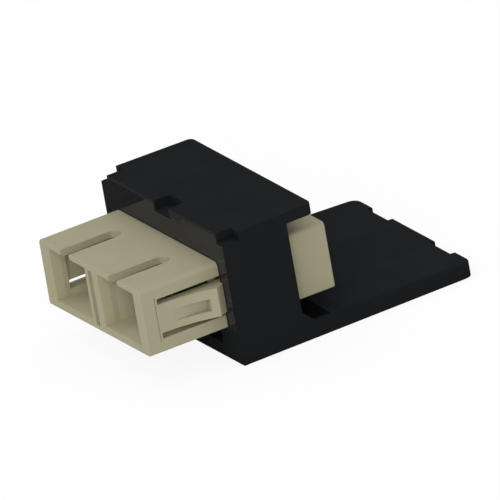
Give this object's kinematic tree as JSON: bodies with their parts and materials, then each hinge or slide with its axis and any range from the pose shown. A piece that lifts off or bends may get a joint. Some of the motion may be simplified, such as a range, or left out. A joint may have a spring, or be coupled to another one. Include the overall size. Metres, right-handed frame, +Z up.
{
  "type": "fibre adapter module",
  "caption": "Snap-in module for a patch panel: duplex SC fibre adapter with bowed side latch arms, held in a black housing with a roof and a flat release lever behind.",
  "frame": {"origin": "middle of the underside of the overall box", "axes": "+Y from the plug side toward the release lever, +X to the right seen from the plug side, +Z up"},
  "size_m": [0.0326, 0.0478, 0.0186],
  "materials": {
    "black_housing": "fine matte, moulded",
    "smoked_plate": "smoked, see-through",
    "beige_shell": "matte, moulded",
    "beige_insert": "matte, moulded",
    "white_ceramic": "polished zirconia"
  },
  "bodies": {
    "root": {"module_housing": "black_housing", "smoked_front_plate": "smoked_plate", "adapter_front_shell": "beige_shell", "adapter_rear_shell": "beige_shell", "front_insert_left": "beige_insert", "front_insert_right": "beige_insert", "rear_insert_left": "beige_insert", "rear_insert_right": "beige_insert", "split_sleeve_left": "white_ceramic", "split_sleeve_right": "white_ceramic"}
  },
  "joints": []
}
